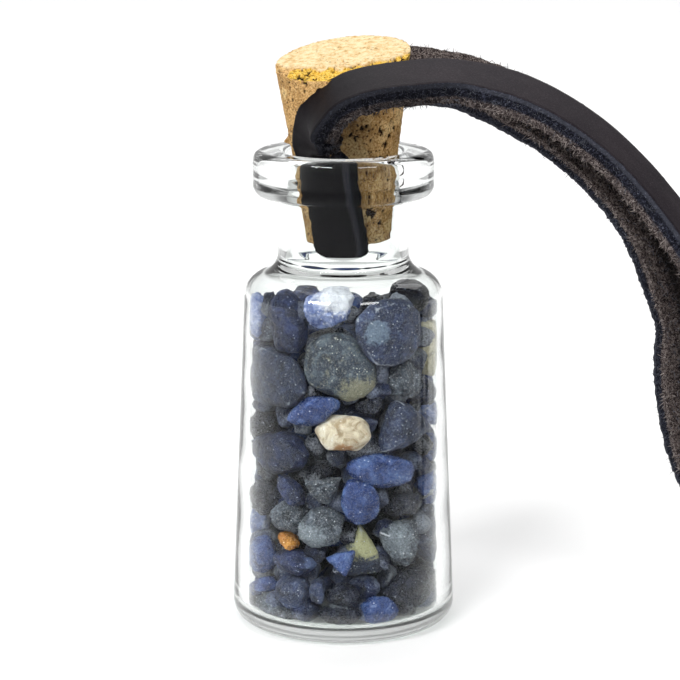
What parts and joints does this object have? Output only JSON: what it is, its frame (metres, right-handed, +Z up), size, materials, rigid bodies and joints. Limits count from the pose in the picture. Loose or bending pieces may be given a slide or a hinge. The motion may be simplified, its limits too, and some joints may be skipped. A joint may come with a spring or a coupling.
{
  "type": "bottle pendant on a leather neck strap",
  "caption": "Small corked glass vial of blue stone chips, hung by a flat leather neck strap whose ends are held beside the cork.",
  "frame": {"origin": "middle of the bottle's foot, on the surface that it stands on", "axes": "+Z up along the bottle's axis; the side seen in front faces -Y; the strap is laid out towards +X"},
  "size_m": [0.2092, 0.1439, 0.0489],
  "materials": {
    "glass": "clear, polished, faint green at the edges",
    "cork": "matte natural cork with dark pits",
    "leather": "smooth satin grain side, fuzzy flesh side and cut edges",
    "stone_blue": "tumbled, polished, clear blue",
    "stone_cream": "tumbled, satin, cream with rusty veins",
    "stone_dark": "tumbled, satin, nearly black",
    "stone_grey": "rough, matte grey with white specks",
    "stone_navy": "tumbled, satin, dark blue",
    "stone_ochre": "tumbled, matte, rusty yellow",
    "stone_olive": "tumbled, satin, grey-blue with an olive patch",
    "stone_pale": "tumbled, rough, matte with white specks",
    "stone_slate": "tumbled, satin, dusty blue-grey"
  },
  "bodies": {
    "root": {"bottle": "glass", "cork": "cork", "strap": "leather", "stone_fill": "stone_slate", "stone_01": "stone_pale", "stone_02": "stone_slate", "stone_03": "stone_dark", "stone_04": "stone_cream", "stone_05": "stone_olive", "stone_06": "stone_blue", "stone_07": "stone_cream", "stone_08": "stone_pale", "stone_09": "stone_navy", "stone_10": "stone_slate", "stone_11": "stone_dark", "stone_12": "stone_navy", "stone_13": "stone_slate", "stone_14": "stone_grey", "stone_15": "stone_dark", "stone_16": "stone_pale", "stone_17": "stone_blue", "stone_18": "stone_blue", "stone_19": "stone_blue", "stone_20": "stone_blue", "stone_21": "stone_navy", "stone_22": "stone_grey", "stone_23": "stone_dark", "stone_24": "stone_grey", "stone_25": "stone_grey", "stone_26": "stone_ochre", "stone_27": "stone_blue", "stone_28": "stone_pale", "stone_29": "stone_navy", "stone_30": "stone_blue", "stone_31": "stone_navy", "stone_32": "stone_grey", "stone_33": "stone_slate", "stone_34": "stone_dark", "stone_35": "stone_blue", "stone_36": "stone_blue", "stone_37": "stone_slate", "stone_38": "stone_slate", "stone_39": "stone_dark", "stone_40": "stone_dark", "stone_41": "stone_grey", "stone_42": "stone_dark"}
  },
  "joints": []
}
